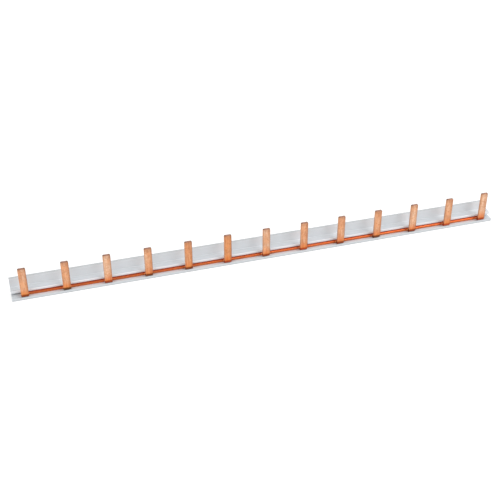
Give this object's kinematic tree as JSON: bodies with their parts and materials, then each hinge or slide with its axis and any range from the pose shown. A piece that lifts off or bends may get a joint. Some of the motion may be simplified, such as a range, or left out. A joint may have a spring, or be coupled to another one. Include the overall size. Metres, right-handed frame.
{
  "type": "comb busbar",
  "caption": "Straight comb busbar: flat copper spine with upright bent pins at even spacing, held in the slot of a light grey insulating profile with a wall behind the pins.",
  "frame": {"origin": "middle of the bar's underside", "axes": "+X along the bar, pins on the -Y side pointing to +Z, insulating wall on the +Y side"},
  "size_m": [0.225, 0.0076, 0.0162],
  "materials": {
    "copper": "bare rolled copper, satin, sheared edges",
    "profile_plastic": "extruded rigid plastic, light grey, satin"
  },
  "bodies": {
    "root": {"copper_comb": "copper", "insulating_profile": "profile_plastic"}
  },
  "joints": []
}
